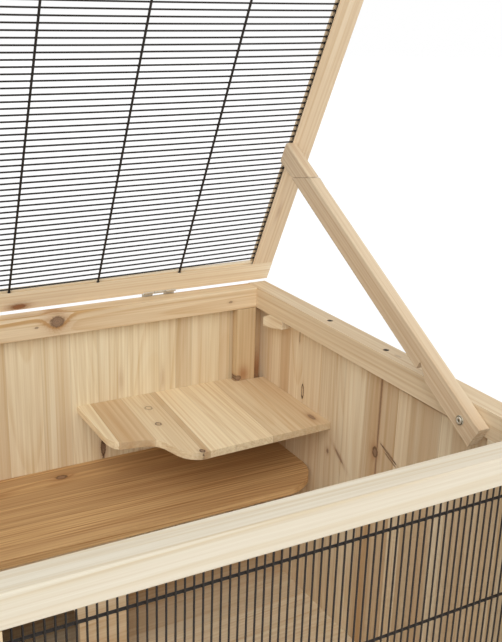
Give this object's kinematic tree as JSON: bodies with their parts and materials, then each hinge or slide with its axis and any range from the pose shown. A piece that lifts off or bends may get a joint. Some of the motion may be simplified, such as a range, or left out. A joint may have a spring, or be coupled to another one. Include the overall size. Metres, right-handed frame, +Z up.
{
  "type": "wooden small animal enclosure",
  "caption": "Solid-walled wooden animal enclosure with a hinged wire lid on a prop, corner shelf, platform over a hide, ramp, and a wire front with a door.",
  "frame": {"origin": "centre of the middle foot's underside, on the ground", "axes": "+Z up, -Y out of the wire front with its door, +Y towards the hinged edge of the lid, +X towards the wall with the prop"},
  "size_m": [1.15, 0.6273, 1.0411],
  "materials": {
    "wood_rail": "planed softwood",
    "wood_board": "glued softwood board",
    "steel": "zinc plated",
    "wire": "black coated wire",
    "felt": "felt"
  },
  "bodies": {
    "box": {"feet": "wood_rail", "back_bottom_rail": "wood_rail", "front_bottom_rail": "wood_rail", "left_bottom_rail": "wood_rail", "right_bottom_rail": "wood_rail", "floor_bearer": "wood_rail", "floor_panel": "wood_board", "back_panel": "wood_board", "left_panel": "wood_board", "right_panel": "wood_board", "back_left_batten": "wood_rail", "back_right_batten": "wood_rail", "corner_blocks": "wood_rail", "back_top_rail": "wood_rail", "front_top_rail": "wood_rail", "left_top_rail": "wood_rail", "right_top_rail": "wood_rail", "rail_screws": "steel", "front_left_post": "wood_rail", "front_right_post": "wood_rail", "front_centre_post": "wood_rail", "kick_boards": "wood_board", "front_sills": "wood_rail", "front_grille": "wire", "door_stop": "wood_rail", "corner_shelf": "wood_board", "platform": "wood_board", "hide_front": "wood_board", "hide_sides": "wood_board", "ramp_board": "wood_board", "ramp_treads": "wood_rail", "lid_hinge_fixed_leaves": "steel", "lid_hinge_pins": "steel", "fixed_leaf_screws": "steel", "strut_pivot_bolt": "steel", "strut_washer": "steel", "door_hinge_fixed_leaves": "steel", "door_hinge_pins": "steel", "post_leaf_screws": "steel", "turn_button_screw": "steel"},
    "lid": {"lid_back_rail": "wood_rail", "lid_front_rail": "wood_rail", "lid_left_stile": "wood_rail", "lid_right_stile": "wood_rail", "lid_grille": "wire", "lid_hinge_moving_leaves": "steel", "lid_leaf_screws": "steel", "lid_bumpers": "felt", "prop_block": "wood_rail"},
    "prop": {"prop_strut": "wood_rail"},
    "door": {"door_left_stile": "wood_rail", "door_right_stile": "wood_rail", "door_top_rail": "wood_rail", "door_bottom_rail": "wood_rail", "door_grille": "wire", "door_hinge_moving_leaves": "steel", "door_leaf_screws": "steel", "door_knob": "wood_rail"},
    "turn_button": {"turn_button": "wood_rail"}
  },
  "joints": [
    {"name": "lid_hinge", "type": "hinge", "parent": "box", "child": "lid", "pos_m": [0, 0.2965, 0.5062], "axis": [1, 0, 0], "range_deg": [0, 63]},
    {"name": "strut_pivot", "type": "hinge", "parent": "box", "child": "prop", "pos_m": [0.5385, -0.1892, 0.4829], "axis": [-1, 0, 0], "range_deg": [0, 46.5]},
    {"name": "door_hinge", "type": "hinge", "parent": "box", "child": "door", "pos_m": [-0.5455, -0.3031, 0.314], "axis": [0, 0, -1], "range_deg": [0, 110]},
    {"name": "button_turn", "type": "hinge", "parent": "box", "child": "turn_button", "pos_m": [0, -0.3044, 0.374], "axis": [0, -1, 0], "range_deg": [0, 90]}
  ],
  "couplings": [
    {"joint": "strut_pivot", "follows": "lid_hinge", "ratio": 0.735}
  ]
}
